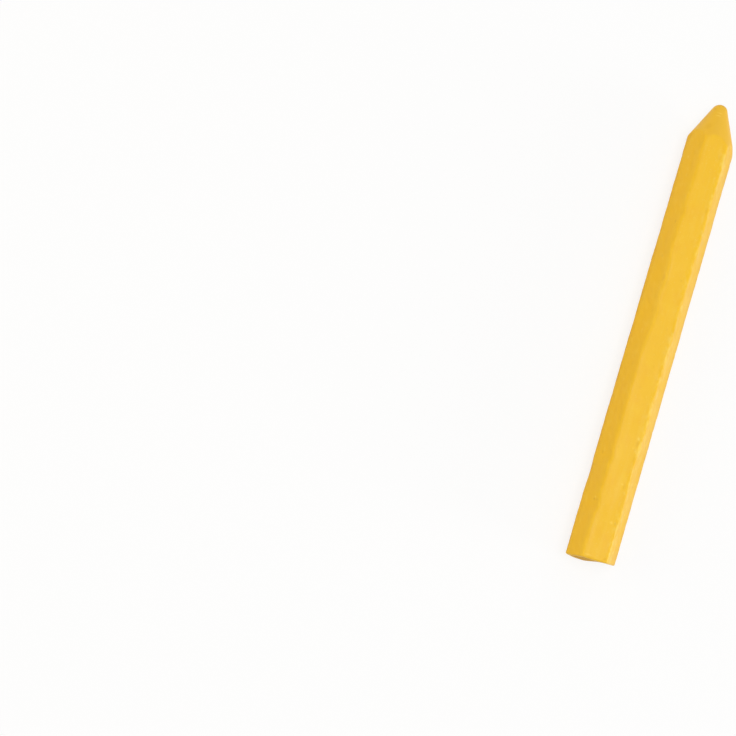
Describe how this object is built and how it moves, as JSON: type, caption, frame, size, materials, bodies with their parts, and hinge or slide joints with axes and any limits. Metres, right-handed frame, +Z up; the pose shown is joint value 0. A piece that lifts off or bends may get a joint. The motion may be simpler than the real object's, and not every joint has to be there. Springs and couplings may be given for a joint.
{
  "type": "chalk stick",
  "caption": "Hexagonal stick of yellow marking chalk with a blunt conical point at one end and a plain flat butt at the other.",
  "frame": {"origin": "under the middle of the stick, on the surface that its lower facet lies on", "axes": "+Y along the stick, towards its point; +X across its corners; +Z up, square to the facet that it lies on"},
  "size_m": [0.0126, 0.12, 0.011],
  "materials": {
    "chalk": "smooth, dry satin"
  },
  "bodies": {
    "root": {"chalk_stick": "chalk"}
  },
  "joints": []
}
